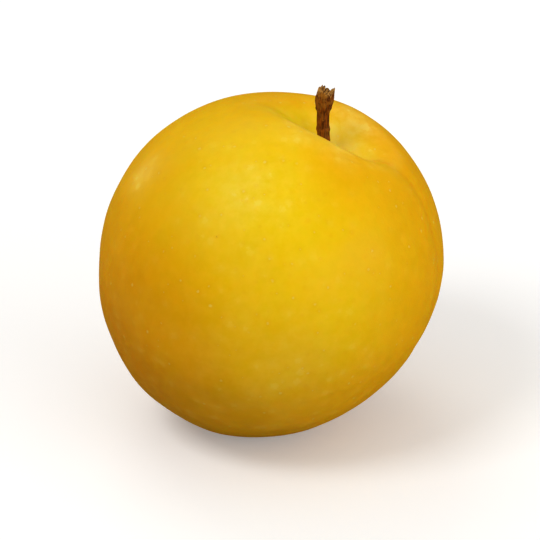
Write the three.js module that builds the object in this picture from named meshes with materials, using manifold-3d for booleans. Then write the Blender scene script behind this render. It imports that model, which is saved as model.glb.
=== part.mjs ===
// A ripe yellow plum as picked: a round fruit with a stem cavity, a seam and a blossom scar,
// and the short woody stem that stands in the cavity. The fruit lies with its stem leaning aside.
//
// Millimetres, +Z up. The origin is the middle of the small flat spot that the fruit rests on.
// The fruit's own frame has its middle at the origin, +z through the stem, +x through the seam
// and +y through a cheek.
import * as THREE from "three";
import { mergeVertices } from "three/addons/utils/BufferGeometryUtils.js";
import Module from "manifold-3d";

const wasm = await Module();
wasm.setup();

// ---- Driving dimensions ----

// The body's radii from its middle, before the cavity and the seam are pressed in.
const SEAM_RADIUS = 24.3;
const CHEEK_RADIUS = 25.8;
const POLE_RADIUS = 25.35;

// How the fruit lies: its stem axis leans towards +X, and its seam faces SEAM_TURN from +X.
const AXIS_LEAN = THREE.MathUtils.degToRad(26);
const SEAM_TURN = THREE.MathUtils.degToRad(-14);
const REST_DEPTH = 0.4; // the flat spot stands this far inside the round body

// The stem cavity is a funnel, longer along the seam's plane than across it.
const CAVITY_DEPTH = 6.5;
const CAVITY_SEAM_REACH = 6.0;
const CAVITY_BACK_REACH = 8.5;
const CAVITY_CHEEK_REACH = 4.4;
const CAVITY_FULLNESS = 1.15; // 1 is a Gaussian bell; more makes a rounder rim and a flatter floor

// The seam is a notch at the cavity's lip that thins to a faint crease down to the blossom end.
const NOTCH_DEPTH = 0.8;
const NOTCH_HALF_WIDTH = 2.4;
const NOTCH_REACH = 7.5;
const CREASE_DEPTH = 0.16;
const CREASE_HALF_WIDTH = 1.3;
const SEAM_START = 1.5; // distance from the stem axis where the seam comes in
const SEAM_EASE = 0.8; // how softly it comes in

// The blossom end is a shallow dimple with a small raised scar.
const DIMPLE_DEPTH = 0.8;
const DIMPLE_REACH = 5.0;
const SCAR_HEIGHT = 0.35;
const SCAR_REACH = 1.0;

// Gentle swells and hollows that keep the body from being a perfect ellipsoid:
// the way each one faces in the fruit's frame, how far it rises, and how tightly it is gathered.
const SWELLS = [
  { toward: [-0.5, 0.35, 0.79], rise: -0.6, gather: 12 },
  { toward: [0.84, 0.26, 0.48], rise: 0.4, gather: 7 },
  { toward: [0.88, -0.17, -0.44], rise: -0.45, gather: 8 },
  { toward: [-0.14, -0.42, -0.9], rise: 0.4, gather: 8 },
  { toward: [-1, 0, 0.1], rise: 0.3, gather: 8 },
];

// The stem stands upright: a thin neck, a foot that widens into the fruit and a thick torn end.
const STEM_HEIGHT = 11.4; // from the cavity's floor to the torn tip
const STEM_SUNK = 1.1; // how far the foot is rooted below the cavity's floor
const STEM_NECK_RADIUS = 0.88;
const STEM_FOOT_SPREAD = 0.55;
const STEM_FOOT_REACH = 1.0;
const STEM_END_RADIUS = 1.42;
const STEM_END_LENGTH = 4.4;
const STEM_BEND = 0.35; // sideways sway of the neck
const TORN_TEETH = 3;
const TORN_DEPTH = 1.0;
const TORN_HOLLOW = 0.7;
const TORN_START = 0.9; // share of the stem's length where the tear begins
const STEM_GAP = 0.3; // clearance between the stem and its socket in the fruit
const SOCKET_SHARE = 0.45; // the socket is cut by this share of the stem, past the cavity's floor

// How fine the solids are.
const FRUIT_DETAIL = 20;
const FRUIT_CROWDING = 0.22; // draws the fruit's facets towards the stem end
const STEM_SIDES = 20;
const STEM_RINGS = 36;
const SLAB = 60;

const COLOURS = { skin: 0xe8b90f, stem: 0x5a3512 };

// ---- The fruit's frame in the part's frame ----

const stemAxis = new THREE.Vector3(Math.sin(AXIS_LEAN), 0, Math.cos(AXIS_LEAN));
const seamAxis = new THREE.Vector3(Math.cos(SEAM_TURN), Math.sin(SEAM_TURN), 0);
seamAxis.addScaledVector(stemAxis, -seamAxis.dot(stemAxis)).normalize();
const cheekAxis = new THREE.Vector3().crossVectors(stemAxis, seamAxis);

// The lowest point of the tilted ellipsoid, from its middle, is -M z / sqrt(z M z), where M sums
// each squared radius along its axis. The origin is above it, REST_DEPTH inside the body.
function fruitMiddle() {
  const lowest = new THREE.Vector3();
  const axes = [
    [SEAM_RADIUS, seamAxis],
    [CHEEK_RADIUS, cheekAxis],
    [POLE_RADIUS, stemAxis],
  ];
  for (const [radius, axis] of axes) lowest.addScaledVector(axis, -radius * radius * axis.z);
  lowest.divideScalar(Math.sqrt(-lowest.z));
  return new THREE.Vector3(-lowest.x, -lowest.y, -lowest.z - REST_DEPTH);
}

const fruitFrame = new THREE.Matrix4()
  .makeBasis(seamAxis, cheekAxis, stemAxis)
  .setPosition(fruitMiddle());

// ---- The fruit ----

const bell = (distance, reach) => Math.exp(-((distance / reach) ** 2));

// How far the funnel presses in at a point of the ellipsoid.
function cavityDepth(p) {
  if (p.z < 0) return 0;
  const reach = p.x > 0 ? CAVITY_SEAM_REACH : CAVITY_BACK_REACH;
  const spread = (p.x / reach) ** 2 + (p.y / CAVITY_CHEEK_REACH) ** 2;
  return CAVITY_DEPTH * Math.exp(-(spread ** CAVITY_FULLNESS));
}

// How far the seam presses in: the notch near the cavity, and the crease all the way down.
function seamDepth(p) {
  const side = 1 / (1 + Math.exp(-(p.x - SEAM_START) / SEAM_EASE));
  const notch = p.z > 0 ? NOTCH_DEPTH * bell(p.x, NOTCH_REACH) * bell(p.y, NOTCH_HALF_WIDTH) : 0;
  return side * (notch + CREASE_DEPTH * bell(p.y, CREASE_HALF_WIDTH));
}

// How far the blossom end presses in.
function blossomDepth(p) {
  if (p.z > 0) return 0;
  const away = Math.hypot(p.x, p.y);
  return DIMPLE_DEPTH * bell(away, DIMPLE_REACH) - SCAR_HEIGHT * bell(away, SCAR_REACH);
}

// How far the body swells, in a unit direction.
function swell(direction) {
  let rise = 0;
  for (const s of SWELLS) {
    const toward = new THREE.Vector3(...s.toward).normalize();
    rise += s.rise * Math.exp(s.gather * (direction.dot(toward) - 1));
  }
  return rise;
}

// The skin's point in a unit direction, in the fruit's frame.
function skinPoint(direction) {
  const { x, y, z } = direction;
  const round = 1 / Math.hypot(x / SEAM_RADIUS, y / CHEEK_RADIUS, z / POLE_RADIUS);
  const p = direction.clone().multiplyScalar(round);
  const pressed = cavityDepth(p) + seamDepth(p) + blossomDepth(p);
  return direction.clone().multiplyScalar(round + swell(direction) - pressed);
}

// A unit direction turned towards the stem end, so that the facets are smaller there.
function crowded(direction) {
  const angle = direction.angleTo(new THREE.Vector3(0, 0, 1));
  const around = Math.atan2(direction.y, direction.x);
  const turned = angle - FRUIT_CROWDING * Math.sin(angle);
  return new THREE.Vector3(
    Math.sin(turned) * Math.cos(around),
    Math.sin(turned) * Math.sin(around),
    Math.cos(turned),
  );
}

function fruitBody() {
  const geometry = new THREE.IcosahedronGeometry(1, FRUIT_DETAIL);
  const position = geometry.getAttribute("position");
  const v = new THREE.Vector3();
  for (let i = 0; i < position.count; i++) {
    v.fromBufferAttribute(position, i).normalize();
    v.copy(skinPoint(crowded(v)));
    position.setXYZ(i, v.x, v.y, v.z);
  }
  return geometry.applyMatrix4(fruitFrame);
}

// ---- The stem ----

const cavityFloor = skinPoint(new THREE.Vector3(0, 0, 1)).applyMatrix4(fruitFrame);

// The stem's centreline, from its sunk foot to its torn end.
const stemLine = new THREE.CatmullRomCurve3([
  new THREE.Vector3(-0.2, 0, -STEM_SUNK),
  new THREE.Vector3(-0.35, 0, 0.25 * STEM_HEIGHT),
  new THREE.Vector3(-0.45, STEM_BEND, 0.6 * STEM_HEIGHT),
  new THREE.Vector3(-0.1, 0, STEM_HEIGHT),
].map((p) => p.add(cavityFloor)));

// The stem's radius at a share of its length: the neck, the wide foot and the thick end.
function stemRadius(share) {
  const length = STEM_HEIGHT + STEM_SUNK;
  const fromFoot = share * length;
  const fromEnd = length - fromFoot;
  const foot = STEM_FOOT_SPREAD * Math.exp(-Math.max(0, fromFoot - STEM_SUNK) / STEM_FOOT_REACH);
  const end = THREE.MathUtils.smoothstep(STEM_END_LENGTH - fromEnd, 0, STEM_END_LENGTH * 0.6);
  return STEM_NECK_RADIUS + foot + (STEM_END_RADIUS - STEM_NECK_RADIUS) * end;
}

// A closed tube along the stem's line, as far as a share of its length. grow widens and sinks it.
function stemBody(grow, upTo) {
  const geometry = new THREE.CylinderGeometry(1, 1, 1, STEM_SIDES, STEM_RINGS, false);
  const position = geometry.getAttribute("position");
  const v = new THREE.Vector3();
  for (let i = 0; i < position.count; i++) {
    v.fromBufferAttribute(position, i);
    const share = (v.y + 0.5) * upTo;
    const across = Math.hypot(v.x, v.z);
    const around = Math.atan2(v.z, v.x);
    const middle = stemLine.getPointAt(share);
    const forward = stemLine.getTangentAt(share);
    const side = new THREE.Vector3(0, 1, 0).cross(forward).normalize();
    const other = new THREE.Vector3().crossVectors(side, forward);
    const radius = (stemRadius(share) + grow) * across;
    const end = THREE.MathUtils.smoothstep(share, TORN_START, 1);
    const tooth = 0.5 - 0.5 * Math.cos(TORN_TEETH * around);
    const drop = end * (TORN_DEPTH * tooth * across + TORN_HOLLOW * (1 - across));
    v.copy(middle)
      .addScaledVector(side, radius * Math.cos(around))
      .addScaledVector(other, radius * Math.sin(around))
      .addScaledVector(forward, -drop - (share === 0 ? grow : 0));
    position.setXYZ(i, v.x, v.y, v.z);
  }
  return geometry;
}

// ---- Solids ----

// A three.js geometry as a closed solid.
function solid(geometry) {
  const bare = new THREE.BufferGeometry().setIndex(geometry.index);
  bare.setAttribute("position", geometry.getAttribute("position"));
  const merged = mergeVertices(bare, 1e-4);
  return new wasm.Manifold(new wasm.Mesh({
    numProp: 3,
    vertProperties: new Float32Array(merged.getAttribute("position").array),
    triVerts: new Uint32Array(merged.index.array),
  }));
}

// A closed solid as a three.js geometry.
function geometryOf(made) {
  const mesh = made.getMesh();
  const geometry = new THREE.BufferGeometry();
  geometry.setAttribute("position", new THREE.BufferAttribute(mesh.vertProperties, 3));
  geometry.setIndex(new THREE.BufferAttribute(mesh.triVerts, 1));
  geometry.computeVertexNormals();
  return geometry;
}

const floorSlab = new THREE.BoxGeometry(SLAB, SLAB, SLAB).translate(0, 0, -SLAB / 2);
const socket = stemBody(STEM_GAP, SOCKET_SHARE);
const fruitSolid = solid(fruitBody()).subtract(solid(floorSlab)).subtract(solid(socket));
const stemSolid = solid(stemBody(0, 1));

function piece(name, made, color, roughness) {
  const material = new THREE.MeshStandardMaterial({ color, roughness, metalness: 0 });
  const mesh = new THREE.Mesh(geometryOf(made), material);
  mesh.name = name;
  return mesh;
}

const plum = new THREE.Group();
plum.add(piece("fruit", fruitSolid, COLOURS.skin, 0.42));
plum.add(piece("stem", stemSolid, COLOURS.stem, 0.85));

export default plum;
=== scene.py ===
"""A ripe yellow plum with its short woody stem, lying on a pale studio floor.

The skin is one closed surface of two angles: how far a point is from the stem, and how far round the
fruit from the seam. The stem is a round section carried up a bent line to a torn, hollow end. Both are
worked out as whole arrays in millimetres, and turned into metres when their meshes are made.
"""

import logging
import math
from dataclasses import dataclass
from enum import Enum
from functools import partial

import bpy
import numpy as np
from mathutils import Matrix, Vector


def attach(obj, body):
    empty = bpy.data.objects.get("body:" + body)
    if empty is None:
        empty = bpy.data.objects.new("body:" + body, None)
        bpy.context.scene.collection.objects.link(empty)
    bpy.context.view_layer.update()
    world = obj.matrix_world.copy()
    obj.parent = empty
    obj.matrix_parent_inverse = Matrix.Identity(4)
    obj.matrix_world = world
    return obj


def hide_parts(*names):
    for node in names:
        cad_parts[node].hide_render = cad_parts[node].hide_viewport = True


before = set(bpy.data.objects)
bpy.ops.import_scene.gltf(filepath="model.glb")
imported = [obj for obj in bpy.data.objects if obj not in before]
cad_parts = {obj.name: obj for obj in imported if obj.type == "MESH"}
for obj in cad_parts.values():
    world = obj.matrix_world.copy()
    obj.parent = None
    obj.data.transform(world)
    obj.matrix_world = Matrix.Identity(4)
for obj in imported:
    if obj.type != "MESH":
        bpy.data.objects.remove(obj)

log = logging.getLogger("plum")

MM = 0.001  # metres in a millimetre
BODY = "root"
WHITE = (1.0, 1.0, 1.0)

Array = np.ndarray
Colour = tuple[float, float, float]
Vec = tuple[float, float, float]
Tree = bpy.types.NodeTree
Socket = bpy.types.NodeSocket
Sockets = dict[str, Socket]
Feed = Socket | float | int | tuple
Inputs = dict[str | int, Feed]


class Node(Enum):
    """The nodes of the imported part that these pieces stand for."""

    FRUIT = "fruit"
    STEM = "stem"


class Slot(Enum):
    """The record's material slots."""

    SKIN = "plum_skin"
    STEM = "plum_stem"


class Mark(Enum):
    """The named values that each point of a surface carries for its finish."""

    CAVITY = "cavity"
    SEAM = "seam"
    FOOT = "foot"
    BLOSSOM = "blossom"
    GOLD = "gold"
    WAX_AND_HIGHLIGHT = "wax_and_highlight"
    REST = "rest"
    FLOW = "flow"
    HEIGHT = "height"
    TORN = "torn"


class Sum(Enum):
    """The arithmetic that a finish uses."""

    ADD = "ADD"
    SUBTRACT = "SUBTRACT"
    TIMES = "MULTIPLY"
    DIVIDE = "DIVIDE"
    MOST = "MAXIMUM"
    LEAST = "MINIMUM"


def bell(distance: Array, reach: float) -> Array:
    """A smooth hump, e ^ -(distance / reach) ^ 2: 1 at the middle and about a third at its reach."""
    return np.exp(-((distance / reach) ** 2))


def ease(value: Array, start: float, end: float) -> Array:
    """A smooth step, 3t^2 - 2t^3, where t is how far the value is from start to end, from 0 to 1."""
    t = np.clip((value - start) / (end - start), 0.0, 1.0)
    return t * t * (3.0 - 2.0 * t)


def unit(vectors: Array) -> Array:
    """The vectors at length 1, each divided by the root of its summed squares."""
    return vectors / np.linalg.norm(vectors, axis=-1, keepdims=True)


def paint(code: str) -> Colour:
    """A screen colour as the linear light that shaders use.

    Args:
        code: Six hexadecimal digits, red, green and blue.

    Returns:
        Each channel as linear light: c / 12.92 when dark, else ((c + 0.055) / 1.055) ^ 2.4.
    """
    screen = [int(code[i : i + 2], 16) / 255.0 for i in (0, 2, 4)]
    return tuple(c / 12.92 if c <= 0.04045 else ((c + 0.055) / 1.055) ** 2.4 for c in screen)


@dataclass(frozen=True)
class Ripples:
    """Even, patternless unevenness: plane waves of one length in many random directions, added up."""

    length: float  # millimetres from crest to crest
    height: float  # millimetres, the usual rise
    seed: int
    waves: int = 28

    def __call__(self, points: Array) -> Array:
        """The sum of sin(2 pi (way . point) / length + phase) over the waves, scaled to the height.

        Args:
            points: Places in millimetres, three to a point.

        Returns:
            The rise at each place, in millimetres.
        """
        random = np.random.default_rng(self.seed)
        ways = unit(random.normal(size=(self.waves, 3)))
        phases = random.uniform(0.0, math.tau, self.waves)
        turns = points @ (ways.T * math.tau / self.length) + phases
        return self.height * math.sqrt(2.0 / self.waves) * np.sin(turns).sum(axis=-1)


@dataclass(frozen=True)
class Swell:
    """A soft hump or hollow over a ball, round the way that it faces."""

    toward: Vec
    rise: float  # at its middle: millimetres on the body, a share in a mark
    gather: float  # how tightly it is gathered


def swelling(swells: tuple[Swell, ...], ways: Array) -> Array:
    """The sum of rise x e^(gather (cos of the angle to the swell - 1)) over the swells."""
    return sum(s.rise * np.exp(s.gather * (ways @ unit(np.array(s.toward)) - 1.0)) for s in swells)


@dataclass
class Surface:
    """A closed surface on a grid: rings of points, with a single point at each end."""

    points: Array  # rings x around x 3, in millimetres; every point of an end ring is the same
    marks: dict[Mark, Array]  # rings x around, or x 3

    def faces(self) -> tuple[Array, Array]:
        """The triangles of the two ends and the four-sided faces between the rings, facing outwards.

        Returns:
            The corner numbers of the triangles, and those of the four-sided faces.
        """
        rings, around = self.points.shape[:2]
        last = (rings - 2) * around + 1
        column = np.arange(around)
        beside = (column + 1) % around
        ring = np.arange(rings - 3)[:, None] * around + 1
        quads = np.stack([ring + column, ring + around + column, ring + around + beside, ring + beside], -1)
        first_end = np.stack([np.zeros(around, int), 1 + column, 1 + beside], -1)
        start = last - around
        last_end = np.stack([start + column, np.full(around, last), start + beside], -1)
        return np.concatenate([first_end, last_end]), quads.reshape(-1, 4)

    def flat(self, values: Array) -> Array:
        """A grid of values as one list, with each end ring as one value.

        Args:
            values: One value or vector for each point of the grid.

        Returns:
            The list, in the order of the mesh's points.
        """
        rings, around = self.points.shape[:2]
        listed = values.reshape(rings * around, -1)
        return np.concatenate([listed[:1], listed[around : (rings - 1) * around], listed[-1:]])

    def mesh(self, name: str) -> bpy.types.Mesh:
        """The surface as a smooth Blender mesh, in metres, that carries its marks.

        Args:
            name: The mesh's name.

        Returns:
            The mesh.
        """
        places = self.flat(self.points) * MM
        triangles, quads = self.faces()
        corners = np.concatenate([triangles.ravel(), quads.ravel()]).astype(np.int32)
        sizes = np.concatenate([np.full(len(triangles), 3), np.full(len(quads), 4)])
        made = bpy.data.meshes.new(name)
        made.vertices.add(len(places))
        made.vertices.foreach_set("co", places.astype(np.float32).ravel())
        made.loops.add(len(corners))
        made.loops.foreach_set("vertex_index", corners)
        made.polygons.add(len(sizes))
        made.polygons.foreach_set("loop_start", (np.cumsum(sizes) - sizes).astype(np.int32))
        made.polygons.foreach_set("use_smooth", np.ones(len(sizes), bool))
        for mark, values in self.marks.items():
            listed = self.flat(values)
            kind, key = ("FLOAT", "value") if listed.shape[1] == 1 else ("FLOAT_VECTOR", "vector")
            layer = made.attributes.new(mark.value, kind, "POINT")
            layer.data.foreach_set(key, listed.astype(np.float32).ravel())
        made.update(calc_edges=True)
        made.validate()
        return made


def linked(data: bpy.types.ID) -> bpy.types.Object:
    """An object at the origin, linked to the scene.

    Args:
        data: The mesh, light or camera that it shows, and whose name it takes.

    Returns:
        The object.
    """
    made = bpy.data.objects.new(data.name, data)
    bpy.context.scene.collection.objects.link(made)
    return made


def place(mesh: bpy.types.Mesh, material: bpy.types.Material) -> bpy.types.Object:
    """An object at the origin that shows a mesh, already in its place, in a finish."""
    mesh.materials.append(material)
    return linked(mesh)


# ---- Node trees ----


@dataclass(frozen=True)
class Graph:
    """A node tree, with the few moves that build it."""

    tree: Tree

    def feed(self, socket: Socket, value: Feed) -> None:
        """Links a socket to another, or sets its value.

        Args:
            socket: The socket that is fed.
            value: Another node's output, or a number or colour.
        """
        if isinstance(value, Socket):
            self.tree.links.new(value, socket)
        elif socket.type == "RGBA" and len(value) == 3:
            socket.default_value = (*value, 1.0)
        else:
            socket.default_value = value

    def add(self, kind: str, inputs: Inputs | None = None, **settings: object) -> bpy.types.Node:
        """Adds a node.

        Args:
            kind: The node's type.
            inputs: What feeds its sockets, by their names or places.
            **settings: The node's own settings, made before its sockets are fed.

        Returns:
            The node.
        """
        node = self.tree.nodes.new(kind)
        for name, setting in settings.items():
            setattr(node, name, setting)
        for name, value in (inputs or {}).items():
            self.feed(node.inputs[name], value)
        return node

    def math(self, kind: Sum, first: Feed, second: Feed, clamp: bool = False) -> Socket:
        """The arithmetic of two values, kept from 0 to 1 if it is clamped."""
        pair = {0: first, 1: second}
        return self.add("ShaderNodeMath", pair, operation=kind.value, use_clamp=clamp).outputs[0]

    def times(self, first: Feed, second: Feed) -> Socket:
        """The product of two values."""
        return self.math(Sum.TIMES, first, second)

    def weigh(self, base: Feed, *parts: tuple[Feed, float]) -> Socket:
        """A value plus each part times its weight.

        Args:
            base: The value to start from.
            *parts: Each part, with its weight.

        Returns:
            The sum.
        """
        answer = base
        for part, weight in parts:
            answer = self.math(Sum.ADD, answer, self.times(part, weight))
        return answer

    def step(self, value: Feed, start: Feed, end: Feed, low: float = 0.0, high: float = 1.0) -> Socket:
        """A smooth step of a value, from low at the start to high at the end."""
        spans = {"Value": value, "From Min": start, "From Max": end, "To Min": low, "To Max": high}
        return self.add("ShaderNodeMapRange", spans, interpolation_type="SMOOTHSTEP").outputs["Result"]

    def blend(self, share: Feed, first: Feed, second: Feed) -> Socket:
        """One colour changing to another.

        Args:
            share: How much of the second colour, from 0 to 1.
            first: The first colour.
            second: The second colour.

        Returns:
            The mixed colour.
        """
        node = self.add("ShaderNodeMix", {"Factor": share}, data_type="RGBA", clamp_factor=True)
        named = {socket.identifier: socket for socket in (*node.inputs, *node.outputs)}
        self.feed(named["A_Color"], first)
        self.feed(named["B_Color"], second)
        return named["Result_Color"]

    def shade(self, colour: Feed, strength: Feed) -> Socket:
        """A colour, or any vector, times a value."""
        pair = {0: colour, "Scale": strength}
        return self.add("ShaderNodeVectorMath", pair, operation="SCALE").outputs[0]

    def mark(self, mark: Mark) -> Socket:
        """A value that the surface carries."""
        node = self.add("ShaderNodeAttribute", attribute_name=mark.value)
        return node.outputs["Vector" if mark is Mark.FLOW else "Fac"]

    def scaled(self, vector: Feed, scale: Vec) -> Socket:
        """A vector stretched along X, Y and Z."""
        return self.add("ShaderNodeMapping", {"Vector": vector, "Scale": scale}).outputs[0]

    def millimetres(self) -> Socket:
        """The place on the object, in millimetres."""
        place_in_metres = self.add("ShaderNodeTexCoord").outputs["Object"]
        return self.scaled(place_in_metres, (1 / MM, 1 / MM, 1 / MM))

    def group(self, tree: Tree, **inputs: Feed) -> Sockets:
        """The outputs of a shader node group whose inputs are fed by name."""
        node = self.add("ShaderNodeGroup", inputs, node_tree=tree)
        return {socket.name: socket for socket in node.outputs}

    def relief(self, *parts: tuple[Feed, float]) -> Socket:
        """The normal of a surface raised by each part times its millimetres."""
        raised = {"Height": self.weigh(0.0, *parts), "Distance": MM, "Strength": 1.0}
        return self.add("ShaderNodeBump", raised).outputs["Normal"]

    def show(self, shader: str, inputs: Inputs, output: str = "ShaderNodeOutputMaterial") -> None:
        """Ends the tree: a shader of a given type goes to the surface."""
        made = self.add(shader, inputs)
        self.feed(self.add(output).inputs["Surface"], made.outputs[0])


def fresh(owner: bpy.types.Material | bpy.types.World) -> Graph:
    """The emptied node tree of a new material or world.

    Args:
        owner: The material or world.

    Returns:
        The graph to build in.
    """
    owner.use_nodes = True
    owner.node_tree.nodes.clear()
    return Graph(owner.node_tree)


def new_group(
    name: str, inputs: dict[str, float | None], outputs: list[str]
) -> tuple[Graph, Sockets, Sockets]:
    """Starts a shader node group.

    Args:
        name: The group's name.
        inputs: The names of its inputs and their usual values; None makes a vector input.
        outputs: The names of its outputs, all plain values.

    Returns:
        The graph to build in, its inputs by name, and the sockets that its outputs come from.
    """
    tree = bpy.data.node_groups.new(name, "ShaderNodeTree")
    for key, value in inputs.items():
        kind = "NodeSocketVector" if value is None else "NodeSocketFloat"
        socket = tree.interface.new_socket(name=key, in_out="INPUT", socket_type=kind)
        if value is not None:
            socket.default_value = value
    for key in outputs:
        tree.interface.new_socket(name=key, in_out="OUTPUT", socket_type="NodeSocketFloat")
    graph = Graph(tree)
    into = graph.add("NodeGroupInput")
    out = graph.add("NodeGroupOutput")
    return graph, {key: into.outputs[key] for key in inputs}, {key: out.inputs[key] for key in outputs}


def make_clouds() -> Tree:
    """The group for soft patches: fractal noise of a given size, cut between two levels.

    Returns:
        The group. Patches is 0 to 1, and Grain is the noise itself.
    """
    usual = {"Place": None, "Size": 3.0, "Detail": 4.0, "Rough": 0.55, "From": 0.4, "To": 0.6}
    graph, given, made = new_group("Clouds", usual, ["Patches", "Grain"])
    noise = graph.add("ShaderNodeTexNoise", {
        "Vector": given["Place"],
        "Scale": graph.math(Sum.DIVIDE, 1.0, given["Size"]),
        "Detail": given["Detail"],
        "Roughness": given["Rough"],
    }).outputs["Fac"]
    graph.feed(made["Patches"], graph.step(noise, given["From"], given["To"]))
    graph.feed(made["Grain"], noise)
    return graph.tree


def make_freckles() -> Tree:
    """The group for scattered dots: one in each random cell, of uneven size, and left out of most cells.

    Returns:
        The group. Dots is the dots themselves, and Halo a wider soft spot round each.
    """
    smallest, largest = 0.55, 1.3  # the sizes of dots, in radii
    core = 0.6  # how far out each is whole, in its sizes
    edges = {"Dots": 1.25, "Halo": 3.2}  # and where it has faded away
    usual = {"Place": None, "Spacing": 2.0, "Radius": 0.2, "Kept": 0.6, "Waver": 0.1}
    graph, given, made = new_group("Freckles", usual, list(edges))
    wobble = graph.add("ShaderNodeTexNoise", {"Vector": given["Place"], "Scale": 2.2, "Detail": 2.0})
    moved = graph.shade(wobble.outputs["Color"], given["Waver"])
    at = graph.add("ShaderNodeVectorMath", {0: given["Place"], 1: moved}, operation="ADD").outputs[0]
    dense = graph.math(Sum.DIVIDE, 1.0, given["Spacing"])
    cells = graph.add("ShaderNodeTexVoronoi", {"Vector": at, "Scale": dense}).outputs
    luck = graph.add("ShaderNodeSeparateColor", {"Color": cells["Color"]}).outputs
    shown = graph.step(graph.math(Sum.SUBTRACT, given["Kept"], luck["Red"]), 0.0, 0.12)
    far = graph.times(cells["Distance"], given["Spacing"])
    size = graph.times(given["Radius"], graph.step(luck["Green"], 0.0, 1.0, smallest, largest))
    share = graph.math(Sum.DIVIDE, far, size)
    for name, edge in edges.items():
        graph.feed(made[name], graph.times(graph.step(share, edge, core), shown))
    return graph.tree


# ---- Finishes ----


@dataclass(frozen=True)
class SkinMasks:
    """What varies over the skin, each from 0 to 1: noises from broad to fine, dots, bloom with painted
    highlights, and cork.
    """

    broad: Socket
    mottle: Socket
    cloudlet: Socket
    grain: Socket
    pores: Socket
    veins: Socket
    freckles: Sockets
    specks: Sockets
    wax_and_highlight: Socket
    cork: Socket


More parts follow.
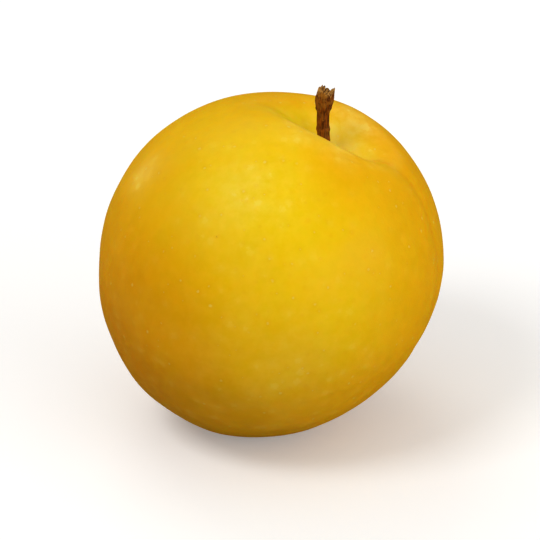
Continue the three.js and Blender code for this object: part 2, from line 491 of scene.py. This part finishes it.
@dataclass(frozen=True)
class SkinFinish:
    """Ripe yellow plum skin: thin, waxy and slightly see-through over golden flesh."""

    clouds: Tree
    freckles: Tree
    yellow: Colour = paint("f7d408")
    gold: Colour = paint("f0b000")
    amber: Colour = paint("e08a00")
    green: Colour = paint("cdb414")
    # The pale colour of the bloom, also used for the painted highlights and the freckles.
    wax_and_highlight: Colour = paint("f6de72")
    cork: Colour = paint("8a5a22")
    dark_cork: Colour = paint("4a2c10")
    roughness: float = 0.33
    most_roughness: float = 0.9
    glow_depth: float = 3.0  # millimetres that red light travels inside the flesh
    glow: Vec = (1.0, 0.42, 0.06)  # how far each colour travels, against red
    sheen: Colour = (1.0, 0.86, 0.2)  # the tint of its mirrored light
    vein_stretch: Vec = (11.0, 11.0, 1.6)  # veins run away from the stem

    def material(self) -> bpy.types.Material:
        """The skin's material.

        Returns:
            The material, on a surface that carries the fruit's marks.
        """
        made = bpy.data.materials.new("plum_skin")
        graph = fresh(made)
        masks = self.masks(graph)
        freckle = masks.freckles["Dots"]
        # Satin, and duller under the bloom and its painted highlights, on freckles, on cork and at the flat
        # spot.
        rough = graph.weigh(
            self.roughness,
            (masks.mottle, 0.07),
            (masks.cloudlet, 0.14),
            (masks.grain, 0.06),
            (masks.wax_and_highlight, 0.35),
            (freckle, 0.1),
            (masks.cork, 0.35),
            (graph.mark(Mark.REST), 0.1),
        )
        # The finest pores, the freckles and the ragged cork.
        normal = graph.relief(
            (masks.pores, 0.006),
            (masks.grain, 0.012),
            (masks.cloudlet, 0.01),
            (freckle, 0.012),
            (graph.times(masks.cork, masks.grain), 0.25),
        )
        graph.show("ShaderNodeBsdfPrincipled", {
            "Base Color": self.colour(graph, masks),
            "Roughness": graph.math(Sum.LEAST, rough, self.most_roughness),
            "Normal": normal,
            "IOR": 1.42,
            "Specular IOR Level": 0.29,
            "Subsurface Weight": 0.5,
            "Subsurface Radius": self.glow,
            "Subsurface Scale": self.glow_depth * MM,
            "Specular Tint": self.sheen,
            "Coat Weight": 0.04,
            "Coat Roughness": 0.2,
            "Coat IOR": 1.4,
        })
        return made

    def masks(self, graph: Graph) -> SkinMasks:
        """The skin's masks.

        The bloom mark, which is painted highlight at some of its spots, is what the surface holds times how
        it is rubbed thin and left in small blots. Cork is a ring round the stem and the scar of the blossom,
        whichever is more, with ragged edges.

        Args:
            graph: The material's graph.

        Returns:
            The masks.
        """
        place_mm = graph.millimetres()
        cloud = partial(graph.group, self.clouds, Place=place_mm)
        scatter = partial(graph.group, self.freckles, Place=place_mm)
        streaks = graph.scaled(graph.mark(Mark.FLOW), self.vein_stretch)
        patch = cloud(Size=7.5, Detail=5.0, Rough=0.62, From=0.44, To=0.62)["Patches"]
        cloudlet = cloud(Size=1.6, Detail=4.0, Rough=0.6, From=0.35, To=0.7)["Patches"]
        grain = cloud(Size=0.55, Detail=3.0, Rough=0.6)["Grain"]
        blots = scatter(Spacing=2.4, Radius=0.5, Kept=0.85, Waver=0.8)
        rubbed = graph.weigh(
            0.1, (patch, 0.25), (cloudlet, 0.3), (grain, 0.2), (blots["Dots"], 0.6), (blots["Halo"], 0.25)
        )
        foot = graph.step(graph.weigh(graph.mark(Mark.FOOT), (grain, 0.7)), 0.77, 1.13)
        scar = graph.step(graph.weigh(graph.mark(Mark.BLOSSOM), (grain, 0.7)), 0.77, 1.07)
        return SkinMasks(
            broad=cloud(Size=17.0, Detail=2.0, From=0.34, To=0.66)["Patches"],
            mottle=cloud(Size=4.2, Detail=5.0, Rough=0.6, From=0.3, To=0.7)["Patches"],
            cloudlet=cloudlet,
            grain=grain,
            pores=cloud(Size=0.22, Detail=2.0)["Grain"],
            veins=cloud(Place=streaks, Size=1.0, Detail=3.0, Rough=0.5, From=0.42, To=0.68)["Patches"],
            freckles=scatter(Spacing=1.7, Radius=0.19, Kept=0.8, Waver=0.3),
            specks=scatter(Spacing=7.0, Radius=0.3, Kept=0.2, Waver=1.1),
            wax_and_highlight=graph.math(Sum.TIMES, graph.mark(Mark.WAX_AND_HIGHLIGHT), rubbed, clamp=True),
            cork=graph.math(Sum.MOST, foot, scar),
        )

    def colour(self, graph: Graph, masks: SkinMasks) -> Socket:
        """The skin's colour: yellow turning gold and amber, with the rest laid over it in turn.

        Args:
            graph: The material's graph.
            masks: The skin's masks.

        Returns:
            The colour.
        """
        # The gold mark is partly ripeness and partly painted shade, amber where the skin turns from the
        # camera and the key light.
        ripe = graph.weigh(graph.mark(Mark.GOLD), (masks.broad, 0.09), (masks.mottle, 0.03))
        colour = graph.blend(graph.step(ripe, -0.04, 0.56), self.yellow, self.gold)
        colour = graph.blend(graph.step(ripe, 0.46, 1.16, 0.0, 0.9), colour, self.amber)
        # Lighter where the mottle and cloudlets lie, and where the bloom mark is high: at its smudges and
        # along the cavity's lip this is a painted highlight.
        light = graph.weigh(0.94, (masks.mottle, 0.055), (masks.cloudlet, 0.03), (masks.wax_and_highlight, 0.14))
        colour = graph.shade(colour, light)
        greenish = graph.step(masks.mottle, 0.0, 1.0, 0.0, 0.05)
        seam = graph.step(masks.cloudlet, 0.1, 0.8, 0.1, 0.32)
        corky = graph.blend(graph.step(masks.grain, 0.35, 0.65), self.dark_cork, self.cork)
        for mask, share, tint in (
            (graph.mark(Mark.CAVITY), greenish, self.green),
            (graph.mark(Mark.SEAM), seam, self.amber),
            (masks.veins, 0.05, self.yellow),
            (masks.cloudlet, 0.02, self.amber),
            (masks.freckles["Halo"], 0.12, self.amber),
            (masks.freckles["Dots"], 0.45, self.wax_and_highlight),
            # Paler where the bloom mark is high: at its smudges and along the cavity's lip this is a painted
            # highlight.
            (masks.wax_and_highlight, 0.6, self.wax_and_highlight),
            (masks.specks["Halo"], 0.25, self.amber),
            (masks.specks["Dots"], 0.75, self.cork),
            (masks.cork, 0.85, corky),
        ):
            colour = graph.blend(graph.times(mask, share), colour, tint)
        return colour


@dataclass(frozen=True)
class BarkFinish:
    """The stem's dry brown bark, with the paler wood of its torn end."""

    clouds: Tree
    freckles: Tree
    dark: Colour = paint("472203")
    brown: Colour = paint("925008")
    tan: Colour = paint("b57c2c")
    wood: Colour = paint("d8a558")
    pith: Colour = paint("6b4220")
    fibre_stretch: Vec = (1.0, 1.0, 0.16)  # fibres run up the stem

    def material(self) -> bpy.types.Material:
        """The stem's material: brown fibres worn tan in patches, and raw wood where it is torn.

        Returns:
            The material, on a surface that carries the stem's marks.
        """
        made = bpy.data.materials.new("plum_stem")
        graph = fresh(made)
        place_mm = graph.millimetres()
        along = graph.scaled(place_mm, self.fibre_stretch)
        fibre = graph.group(self.clouds, Place=along, Size=0.22, Detail=4.0, Rough=0.6, From=0.38, To=0.62)
        patch = graph.group(self.clouds, Place=place_mm, Size=1.3, Detail=4.0, Rough=0.6, From=0.42, To=0.6)
        dots = graph.group(self.freckles, Place=place_mm, Spacing=0.75, Radius=0.09, Kept=0.5, Waver=0.1)
        worn = graph.step(graph.mark(Mark.HEIGHT), 0.62, 1.0, 0.25, 0.8)
        bark = graph.blend(fibre["Patches"], self.dark, self.brown)
        bark = graph.blend(graph.times(patch["Patches"], worn), bark, self.tan)
        bark = graph.blend(graph.times(dots["Dots"], 0.7), bark, self.tan)
        raw = graph.blend(fibre["Patches"], self.pith, self.wood)
        graph.show("ShaderNodeBsdfPrincipled", {
            "Base Color": graph.blend(graph.mark(Mark.TORN), bark, raw),
            "Roughness": graph.step(fibre["Grain"], 0.3, 0.7, 0.62, 0.86),
            "Normal": graph.relief((fibre["Grain"], 0.16), (patch["Grain"], 0.08), (dots["Dots"], 0.03)),
            "Specular IOR Level": 0.18,
        })
        return made


@dataclass(frozen=True)
class FloorFinish:
    """A plain pale studio floor.

    It looks paler than the light that it throws back, and it is warm where the skin mirrors it.
    """

    shown: Colour = (0.945, 0.947, 0.945)
    thrown: Colour = (0.36, 0.35, 0.33)
    mirrored: Colour = (0.36, 0.28, 0.06)
    glow: float = 0.17  # a little light of its own, to the camera only

    def material(self) -> bpy.types.Material:
        """The floor's material.

        Returns:
            The material.
        """
        made = bpy.data.materials.new("studio_floor")
        graph = fresh(made)
        ray = graph.add("ShaderNodeLightPath").outputs
        thrown = graph.blend(ray["Is Glossy Ray"], self.thrown, self.mirrored)
        graph.show("ShaderNodeBsdfPrincipled", {
            "Base Color": graph.blend(ray["Is Camera Ray"], thrown, self.shown),
            "Roughness": 0.75,
            "Specular IOR Level": 0.0,
            "Emission Color": self.shown,
            "Emission Strength": graph.times(ray["Is Camera Ray"], self.glow),
        })
        return made


# ---- The fruit ----


@dataclass
class Fruit:
    """The fruit: an ellipsoid pressed in by a stem cavity, a seam and a blossom dimple.

    In the fruit's own frame +z runs through the stem, +x through the seam and +y through a cheek.
    Its lengths are in millimetres.
    """

    seam_radius: float = 24.3
    cheek_radius: float = 25.8
    pole_radius: float = 25.35
    axis_lean: float = math.radians(26)
    seam_turn: float = math.radians(-14)
    rest_depth: float = 0.4
    cavity_depth: float = 6.5
    cavity_seam_reach: float = 6.0
    cavity_back_reach: float = 8.5
    cavity_cheek_reach: float = 4.4
    cavity_fullness: float = 1.15
    notch_depth: float = 0.8
    notch_half_width: float = 2.4
    notch_reach: float = 7.5
    crease_depth: float = 0.16
    crease_half_width: float = 1.3
    seam_start: float = 1.5
    seam_ease: float = 0.8
    dimple_depth: float = 0.8
    dimple_reach: float = 5.0
    scar_height: float = 0.35
    scar_reach: float = 1.0
    swells: tuple[Swell, ...] = (
        Swell((-0.5, 0.35, 0.79), -0.6, 12),
        Swell((0.84, 0.26, 0.48), 0.4, 7),
        Swell((0.88, -0.17, -0.44), -0.45, 8),
        Swell((-0.14, -0.42, -0.9), 0.4, 8),
        Swell((-1.0, 0.0, 0.1), 0.3, 8),
    )
    # What only the fine skin has. Distances out are from the stem axis.
    broad_ripples: Ripples = Ripples(length=11.0, height=0.05, seed=3)
    fine_ripples: Ripples = Ripples(length=4.0, height=0.012, seed=7)
    ripple_ball: float = 25.0  # radius of the ball that they are worked out on
    collar_out: float = 2.1
    collar_height: float = 0.22
    collar_half_width: float = 0.55
    pucker_out: float = 3.4
    pucker_depth: float = 0.04
    pucker_half_width: float = 2.3
    pucker_count: int = 11
    fold_out: float = 8.3
    fold_depth: float = 0.13
    fold_half_width: float = 0.55
    fold_turn: float = math.radians(-64)
    fold_half_turn: float = math.radians(17)
    # What the finish reads.
    rubbed_height: float = 0.35  # where the rubbing round the flat spot ends
    foot_ring: float = 2.6
    blossom_ring: float = 1.5
    seam_line: float = 0.6
    seam_line_out: tuple[float, float] = (3.0, 7.0)  # where it starts and is whole
    # The gold is partly ripeness and partly painted shade: yellowest on the side that faces the camera and
    # the key light, gold and amber as the skin turns from them.
    yellowest: Vec = (-0.17, -0.76, 0.63)  # in the part's frame, as the blushes are
    ripeness_and_shade: float = 0.9  # opposite the yellowest side
    ripening_and_shade: float = 0.75
    cavity_less_gold: float = 0.3
    # The first blush is painted shade and reflection, orange low on the left; the second adds a little gold
    # at the cavity's front crest; the last takes gold out low at the front.
    blushes_and_shade: tuple[Swell, ...] = (
        Swell((-0.85, -0.5, -0.15), 0.52, 4),
        Swell((0.42, -0.38, 0.825), 0.1, 50),
        Swell((0.25, -0.94, -0.22), -0.13, 6),
    )
    least_wax: float = 0.08
    cavity_wax: float = 0.5
    # A painted highlight along the cavity's lip, carried in the bloom mark.
    lip_painted_highlight: float = 0.2
    low_wax: float = 0.18
    most_wax_and_highlight: float = 1.6
    # Soft spots of the bloom mark. The first, second, fourth, fifth and sixth are painted highlights: on the
    # left shoulder, the broad highlight in front, two along the cavity's front crest and one on its far wall.
    # The third, low in front, and the last two, at the back, are bloom.
    smudges_and_highlights: tuple[Swell, ...] = (
        Swell((-0.88, -0.39, 0.27), 1.0, 150),
        Swell((-0.28, -0.74, 0.61), 0.66, 27),
        Swell((0.36, -0.93, 0.0), 0.3, 8),
        Swell((-0.18, -0.27, 0.95), 1.3, 160),
        Swell((0.04, -0.29, 0.955), 0.7, 220),
        Swell((0.02, 0.17, 0.985), 1.5, 85),
        Swell((-0.6, 0.75, 0.2), 0.45, 16),
        Swell((0.7, 0.6, -0.2), 0.4, 12),
    )
    rings: int = 248
    around: int = 392
    crowding: float = 0.4  # draws the rings towards the stem

    def axes(self) -> Array:
        """The fruit's own axes in the part's frame.

        Returns:
            Rows for the seam, cheek and stem axes: the stem axis leans towards +X, the seam axis is
            its turned heading with the part along the stem axis taken out, and the cheek axis is
            square to both.
        """
        stem = np.array([math.sin(self.axis_lean), 0.0, math.cos(self.axis_lean)])
        heading = np.array([math.cos(self.seam_turn), math.sin(self.seam_turn), 0.0])
        seam = unit(heading - heading @ stem * stem)
        return np.stack([seam, np.cross(stem, seam), stem])

    def radii(self) -> Array:
        """The ellipsoid's radii along the fruit's axes."""
        return np.array([self.seam_radius, self.cheek_radius, self.pole_radius])

    def middle(self) -> Array:
        """The body's middle, over the origin's flat spot.

        Returns:
            Minus the tilted ellipsoid's lowest point, -M z / sqrt(z M z), lowered by the rest depth,
            where M sums each squared radius along its axis.
        """
        axes = self.axes()
        lowest = -(axes.T * self.radii() ** 2) @ axes[:, 2]
        lowest = lowest / math.sqrt(-lowest[2])
        return -lowest - np.array([0.0, 0.0, self.rest_depth])

    def skin(self, away: Array, turned: Array) -> Surface:
        """The skin as a function of two angles.

        Its radius is the ellipsoid's plus the swells and ripples, less the cavity's funnel, the seam,
        and the blossom dimple. The point is the middle plus the radius along the direction
        (sin away cos turned, sin away sin turned, cos away), and nothing goes below the floor.

        Args:
            away: The angle from the stem axis.
            turned: The angle round the stem axis from the seam.

        Returns:
            The surface, with the marks that the finish reads.
        """
        ways = np.stack([np.sin(away) * np.cos(turned), np.sin(away) * np.sin(turned), np.cos(away)], -1)
        round_radius = 1.0 / np.linalg.norm(ways / self.radii(), axis=-1)
        x, y, z = np.moveaxis(ways * round_radius[..., None], -1, 0)
        off_axis = np.hypot(x, y)
        upper = z > 0

        # The solid's forms. The funnel is e ^ -(spread ^ fullness), where spread is the squared distance
        # in reaches, and the seam comes in along an S curve, 1 / (1 + e ^ -x).
        reach = np.where(x > 0, self.cavity_seam_reach, self.cavity_back_reach)
        spread = (x / reach) ** 2 + (y / self.cavity_cheek_reach) ** 2
        funnel = upper * np.exp(-(spread**self.cavity_fullness))
        seam_side = 1.0 / (1.0 + np.exp(-(x - self.seam_start) / self.seam_ease))
        notch = upper * self.notch_depth * bell(x, self.notch_reach) * bell(y, self.notch_half_width)
        seam = seam_side * (notch + self.crease_depth * bell(y, self.crease_half_width))
        dimple = self.dimple_depth * bell(off_axis, self.dimple_reach)
        blossom = ~upper * (dimple - self.scar_height * bell(off_axis, self.scar_reach))

        # The fine forms: ripples, a collar, puckers of uneven width round it and one short fold.
        ball = ways * self.ripple_ball
        ripples = self.broad_ripples(ball) + self.fine_ripples(ball) * (1.0 - funnel)
        collar = upper * self.collar_height * bell(off_axis - self.collar_out, self.collar_half_width)
        pucker = upper * self.pucker_depth * bell(off_axis - self.pucker_out, self.pucker_half_width)
        wave = np.cos(self.pucker_count * turned + 1.3 * np.sin(2 * turned) + 0.8 * np.sin(5 * turned + 1.0))
        aside = (turned - self.fold_turn + math.pi) % math.tau - math.pi
        fold = bell(off_axis - self.fold_out, self.fold_half_width) * bell(aside, self.fold_half_turn)
        radius = round_radius + swelling(self.swells, ways) + ripples + collar + pucker * wave
        radius = radius - self.cavity_depth * funnel - seam - blossom - upper * self.fold_depth * fold

        points = self.middle() + (ways * radius[..., None]) @ self.axes()
        rubbed = ease(points[..., 2], self.rubbed_height, 0.0)
        points[..., 2] = np.maximum(points[..., 2], 0.0)
        return Surface(points, {
            Mark.CAVITY: funnel,
            Mark.SEAM: seam_side * bell(y, self.seam_line) * ease(off_axis, *self.seam_line_out),
            Mark.FOOT: upper * bell(off_axis, self.foot_ring),
            Mark.BLOSSOM: ~upper * bell(off_axis, self.blossom_ring),
            Mark.GOLD: self.gold(points, funnel),
            Mark.WAX_AND_HIGHLIGHT: self.held_wax_and_highlight(ways, funnel),
            Mark.REST: rubbed,
            Mark.FLOW: np.stack([np.cos(turned), np.sin(turned), away], -1),
        })

    def gold(self, points: Array, funnel: Array) -> Array:
        """How far the yellow has turned gold, partly ripeness and partly painted shade: least where the fruit
        faces forwards and up, towards the camera and the key light.

        Args:
            points: Places on the skin, in the part's frame.
            funnel: How far each point is pressed into the cavity, from 0 to 1.

        Returns:
            The ripeness_and_shade x (0.5 - 0.5 x the cosine of the angle to the yellowest side) ^
            ripening_and_shade, plus the blushes_and_shade, less what the cavity lacks.
        """
        facing = unit(points - self.middle())
        far = 0.5 - 0.5 * facing @ unit(np.array(self.yellowest))
        ripe = self.ripeness_and_shade * far**self.ripening_and_shade + swelling(self.blushes_and_shade, facing)
        return ripe - self.cavity_less_gold * ease(funnel, 0.0, 0.5)

    def held_wax_and_highlight(self, ways: Array, funnel: Array) -> Array:
        """Where bloom is kept, in the cavity, low on the body and in a few rubbed smudges, with painted
        highlights along the cavity's lip and in most of the smudges.

        Args:
            ways: Directions in the fruit's frame.
            funnel: How far each point is pressed into the cavity, from 0 to 1.

        Returns:
            The least bloom plus those four, going past 1 where it lies thickest and where the painted
            highlights are strongest.
        """
        inside = ease(funnel, 0.1, 0.55) * (1.0 - 0.7 * ease(funnel, 0.75, 1.0))
        # A painted highlight along the cavity's lip.
        lip = ease(funnel, 0.012, 0.05) * (1.0 - ease(funnel, 0.08, 0.3))
        low = ease(-ways[..., 2], -0.2, 0.8)
        held = self.least_wax + self.cavity_wax * inside + self.lip_painted_highlight * lip + self.low_wax * low
        return np.clip(held + swelling(self.smudges_and_highlights, ways), 0.0, self.most_wax_and_highlight)

    def build(self, finish: SkinFinish) -> bpy.types.Object:
        """Makes the fruit and dresses it.

        Args:
            finish: The skin's finish.

        Returns:
            The fruit's object.
        """
        share = np.linspace(0.0, math.pi, self.rings)
        away = share - self.crowding * np.sin(share)
        turned = np.linspace(0.0, math.tau, self.around, endpoint=False)
        surface = self.skin(*np.meshgrid(away, turned, indexing="ij"))
        made = place(surface.mesh("plum_fruit"), finish.material())
        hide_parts(Node.FRUIT.value)
        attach(made, BODY)
        return made

    def cavity_floor(self) -> Array:
        """The point of the skin where the stem axis meets the cavity's floor, without the fine relief.

        Returns:
            The middle plus, along the stem axis, the pole's radius and swells less the cavity and seam.
        """
        pole = np.array([0.0, 0.0, 1.0])
        radius = self.pole_radius + swelling(self.swells, pole) - self.cavity_depth
        seam_side = 1.0 / (1.0 + math.exp(self.seam_start / self.seam_ease))
        radius = radius - seam_side * (self.notch_depth + self.crease_depth)
        return self.middle() + radius * self.axes()[2]


# ---- The stem ----


@dataclass
class Stem:
    """The upright stem: a thin neck, a foot that widens into the fruit and a thick torn end.

    Its lengths are in millimetres, and its shares are of the way from its foot to its end.
    """

    height: float = 11.4
    sunk: float = 1.1
    line_x: tuple[float, ...] = (-0.4, -0.55, -0.62, -0.1)  # at its four set points
    line_y: tuple[float, ...] = (0.0, 0.0, 0.35, 0.0)
    line_between: tuple[float, float] = (0.25, 0.6)  # the inner two, in heights of the stem
    neck_radius: float = 0.88
    foot_spread: float = 0.55
    foot_reach: float = 1.0
    foot_share: float = 0.012  # in which the foot rounds shut
    end_radius: float = 1.34
    end_length: float = 4.4
    end_thickening: float = 0.6  # share of the end's length
    end_drawn_in: float = 0.1
    torn_share: float = 0.86  # from which the end is torn
    raw_share: float = 0.965  # from which raw wood shows
    raw_wood: float = 0.75
    torn_depth: float = 1.0
    torn_hollow: float = 0.7
    teeth: int = 3
    teeth_fall: float = 0.72  # as the next two falls, a share of the torn depth
    splinters: int = 13
    splinters_fall: float = 0.34
    jags: int = 28
    jags_fall: float = 0.16
    rim_fall: float = 0.12
    furrow_depth: float = 0.055
    furrow_count: int = 9
    # Each knot's rise, place in heights of the stem, and half width.
    knots: tuple[tuple[float, float, float], ...] = ((0.12, 0.42, 0.35), (0.1, 0.7, 0.3))
    bark: Ripples = Ripples(length=1.6, height=0.035, seed=12)
    bark_stretch: Vec = (1.0, 1.0, 0.4)  # draws the ripples out along the stem
    rings: int = 210
    foot_rings: int = 6
    hollow_rings: int = 36
    around: int = 160

    def line(self, height: Array) -> Array:
        """The stem's middle at each height: cubics for x and y through its four set points.

        Args:
            height: Heights above the cavity's floor, in millimetres.

        Returns:
            Places from the cavity's floor, three to a height.
        """
        lower, upper = self.line_between
        set_heights = np.array([-self.sunk, lower * self.height, upper * self.height, self.height])
        curves = (np.polyfit(set_heights, through, 3) for through in (self.line_x, self.line_y))
        x, y = (np.polyval(curve, height) for curve in curves)
        return np.stack([x, y, height], -1)

    def radius(self, height: Array) -> Array:
        """The neck's radius, plus a foot that dies away upwards, plus a smooth step to the thick end.

        Args:
            height: Heights above the cavity's floor.

        Returns:
            The radius in millimetres.
        """
        foot = self.foot_spread * np.exp(-np.maximum(0.0, height) / self.foot_reach)
        from_end = self.height - height
        end = ease(self.end_length - from_end, 0.0, self.end_length * self.end_thickening)
        return self.neck_radius + foot + (self.end_radius - self.neck_radius) * end

    def skin(self, share: Array, turned: Array, floor: Array) -> Surface:
        """The stem as a function of its length and the angle round it.

        From share 0 to 1 the section goes up the bark from the closed foot to the torn rim, and from
        1 to 2 it goes in over the rim and down to the middle of the hollow. The rim's height is the
        stem's less a fall that varies as a few broad teeth and many small splinters, and that evens out
        towards the middle of the hollow.

        Args:
            share: The place along the stem and back into its hollow, from 0 to 2.
            turned: The angle round the stem.
            floor: The middle of the cavity's floor.

        Returns:
            The surface, with the marks that the finish reads.
        """
        up = np.clip(share, 0.0, 1.0)
        inward = np.clip(share - 1.0, 0.0, 1.0)
        # Teeth, splinters and jags are waves round the stem, the small ones of uneven widths.
        broad = 0.5 - 0.5 * np.cos(self.teeth * turned)
        splinter = np.abs(np.sin(self.splinters / 2 * turned + 0.9 * np.sin(3 * turned))) ** 0.8
        jag = np.abs(np.sin(self.jags / 2 * turned + 1.7 * np.sin(5 * turned)))
        uneven = self.teeth_fall * broad + self.splinters_fall * (1.0 - splinter) + self.jags_fall * jag
        fall = self.torn_depth * uneven
        fall = fall + (fall.mean() - fall) * ease(inward, 0.04, 0.8)
        torn = ease(up, self.torn_share, 1.0)
        height = -self.sunk + up * (self.height + self.sunk) - fall * torn
        hollow = self.torn_hollow * ease(inward, 0.0, 0.8) * (1.0 + 0.5 * (0.5 - broad))
        height = height - hollow - self.rim_fall * ease(inward, 0.0, 0.3)

        # Furrows that fade at the end, and knots. The radius shrinks to 0 over the hollow and at the foot.
        furrows = np.cos(self.furrow_count * turned + 0.16 * height + 0.9 * np.sin(2 * turned + 0.3 * height))
        knots = sum(rise * bell(height - at * self.height, width) for rise, at, width in self.knots)
        radius = self.radius(height) + (self.furrow_depth * furrows * (1.0 - torn * 0.3) + knots)
        wall = ease(inward, 0.0, 1.0)
        radius = radius * (1.0 - self.end_drawn_in * torn) * (1.0 - inward) * (1.0 - 0.12 * wall)
        closed = np.clip(up / self.foot_share, 0.0, 1.0)
        radius = radius * np.sqrt(closed * (2.0 - closed))

        ways = np.stack([np.cos(turned), np.sin(turned), np.zeros_like(turned)], -1)
        points = self.line(height) + ways * radius[..., None]
        rough = self.bark(points * np.array(self.bark_stretch)) * (1.0 - inward) * closed
        points = points + ways * rough[..., None]
        face = ease(inward, 0.0, 0.06)
        raw = np.maximum(face, self.raw_wood * ease(up, self.raw_share, 1.0))
        return Surface(points + floor, {Mark.HEIGHT: up, Mark.TORN: raw})

    def build(self, finish: BarkFinish, floor: Array) -> bpy.types.Object:
        """Makes the stem and dresses it.

        Args:
            finish: The bark's finish.
            floor: The middle of the cavity's floor.

        Returns:
            The stem's object.
        """
        foot = np.linspace(0.0, self.foot_share, self.foot_rings)[:-1]
        up = np.linspace(self.foot_share, 1.0, self.rings)
        inward = np.linspace(1.0, 2.0, self.hollow_rings)[1:]
        share = np.concatenate([foot, up, inward])
        turned = np.linspace(0.0, math.tau, self.around, endpoint=False)
        surface = self.skin(*np.meshgrid(share, turned, indexing="ij"), floor)
        # Turned over, so that its first end is the top one and its faces point outwards.
        surface.points = surface.points[::-1]
        surface.marks = {mark: values[::-1] for mark, values in surface.marks.items()}
        surface.points[0] = surface.points[0].mean(axis=0)
        surface.points[-1] = surface.points[-1].mean(axis=0)
        made = place(surface.mesh("plum_stem"), finish.material())
        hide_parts(Node.STEM.value)
        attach(made, BODY)
        return made


# ---- The studio ----


def stand(
    data: bpy.types.ID, aim: Array, bearing: float, elevation: float, distance: float
) -> bpy.types.Object:
    """Puts a light or camera round a point, facing it.

    It stands at the point plus the distance along
    (sin bearing cos elevation, -cos bearing cos elevation, sin elevation).

    Args:
        data: The light or camera.
        aim: The point, in metres.
        bearing: Degrees round from -Y, towards +X.
        elevation: Degrees above the floor.
        distance: Metres from the point.

    Returns:
        The object.
    """
    turn, rise = math.radians(bearing), math.radians(elevation)
    back = Vector((math.sin(turn) * math.cos(rise), -math.cos(turn) * math.cos(rise), math.sin(rise)))
    made = linked(data)
    made.location = Vector(aim) + back * distance
    made.rotation_mode = "QUATERNION"
    made.rotation_quaternion = (-back).to_track_quat("-Z", "Y")
    return made


@dataclass(frozen=True)
class Softbox:
    """A soft rectangular light that faces the fruit. Its lengths are in metres."""

    name: str
    bearing: float  # degrees round from the camera's side, towards the right
    elevation: float  # degrees above the floor
    distance: float
    width: float
    height: float
    watts: float
    colour: Colour = WHITE

    def build(self, aim: Array) -> bpy.types.Object:
        """Makes the light.

        Args:
            aim: The point that it faces, in metres.

        Returns:
            The light's object.
        """
        lamp = bpy.data.lights.new(self.name, "AREA")
        lamp.shape = "RECTANGLE"
        lamp.size, lamp.size_y = self.width, self.height
        lamp.energy, lamp.color = self.watts, self.colour
        return stand(lamp, aim, self.bearing, self.elevation, self.distance)


@dataclass
class Studio:
    """The floor, soft lights and camera. Its lengths are in metres."""

    floor_half_size: float = 3.0
    floor_cells: int = 8
    floor_drop: float = 0.00004  # a hair, so that the floor and the flat spot never share a plane
    view_elevation: float = 28.0  # degrees
    view_distance: float = 1.2
    view_width: float = 0.0777  # across the picture at the fruit
    view_drop: float = 0.0012  # that the aim is below the fruit's middle
    clip: tuple[float, float] = (0.01, 20.0)  # the nearest and farthest that the camera sees
    sky_light: float = 0.43
    sky_shown: float = 0.9
    sky_mirrored: Colour = (1.0, 0.8, 0.12)
    # Each light's bearing, elevation, distance, width, height, watts, and colour if it isn't white.
    lights: tuple[Softbox, ...] = (
        Softbox("key", -52, 52, 0.9, 0.36, 0.3, 2.05),
        Softbox("fill", 57, 13, 1.3, 1.4, 0.5, 6.7),
        Softbox("rim", -158, 50, 1.0, 0.5, 0.5, 1.1, (1.0, 0.96, 0.84)),
        Softbox("edge", -139, 9, 1.0, 0.1, 0.2, 0.25, (1.0, 0.92, 0.7)),
    )

    def floor(self, finish: FloorFinish) -> bpy.types.Object:
        """The floor: a flat grid over (across, along), a hair below height 0.

        Args:
            finish: The floor's finish.

        Returns:
            The floor's object.
        """
        row = self.floor_cells + 1
        edge = np.linspace(-self.floor_half_size, self.floor_half_size, row)
        across, along = np.meshgrid(edge, edge, indexing="ij")
        points = np.stack([across, along, np.full_like(across, -self.floor_drop)], -1).reshape(-1, 3)
        cell = np.arange(self.floor_cells)
        corner = (cell[:, None] * row + cell).ravel()
        faces = np.stack([corner, corner + row, corner + row + 1, corner + 1], -1)
        mesh = bpy.data.meshes.new("floor")
        mesh.from_pydata(points.tolist(), [], faces.tolist())
        made = place(mesh, finish.material())
        return made

    def camera(self, aim: Array) -> bpy.types.Object:
        """The camera, with a long lens.

        Args:
            aim: The middle of the fruit, in metres.

        Returns:
            The camera's object.
        """
        lens = bpy.data.cameras.new("camera")
        lens.lens = lens.sensor_width * self.view_distance / self.view_width
        lens.clip_start, lens.clip_end = self.clip
        lowered = aim - np.array([0.0, 0.0, self.view_drop])
        made = stand(lens, lowered, 0.0, self.view_elevation, self.view_distance)
        bpy.context.scene.camera = made
        return made

    def sky(self) -> bpy.types.World:
        """The surroundings: an even white light, paler to look at, and warm where skin mirrors it.

        Returns:
            The world.
        """
        world = bpy.data.worlds.new("studio")
        graph = fresh(world)
        ray = graph.add("ShaderNodeLightPath").outputs
        graph.show("ShaderNodeBackground", {
            "Color": graph.blend(ray["Is Glossy Ray"], WHITE, self.sky_mirrored),
            "Strength": graph.step(ray["Is Camera Ray"], 0.0, 1.0, self.sky_light, self.sky_shown),
        }, "ShaderNodeOutputWorld")
        return world

    def build(self, floor: FloorFinish, aim: Array) -> None:
        """Makes the whole studio.

        Args:
            floor: The floor's finish.
            aim: The middle of the fruit, in metres.
        """
        self.floor(floor)
        self.camera(aim)
        for light in self.lights:
            light.build(aim)
        bpy.context.scene.world = self.sky()
        bpy.context.scene.view_settings.view_transform = "Standard"
        bpy.context.scene.view_settings.look = "Medium High Contrast"


def corners(box: tuple) -> list[list[float]]:
    """A box's two corners as plain lists."""
    return [list(corner) for corner in box]


def main() -> None:
    """Builds the plum and its studio."""
    logging.basicConfig(level=logging.INFO, format="%(name)s: %(message)s")
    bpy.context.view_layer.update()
    clouds = make_clouds()
    freckles = make_freckles()

    fruit = Fruit()
    made = fruit.build(SkinFinish(clouds, freckles))
    log.info("%s: %d faces", made.name, len(made.data.polygons))

    made = Stem().build(BarkFinish(clouds, freckles), fruit.cavity_floor())
    log.info("%s: %d faces", made.name, len(made.data.polygons))

    Studio().build(FloorFinish(), fruit.middle() * MM)
    log.info("studio: floor, camera and lights")


if __name__ == "__main__":
    main()
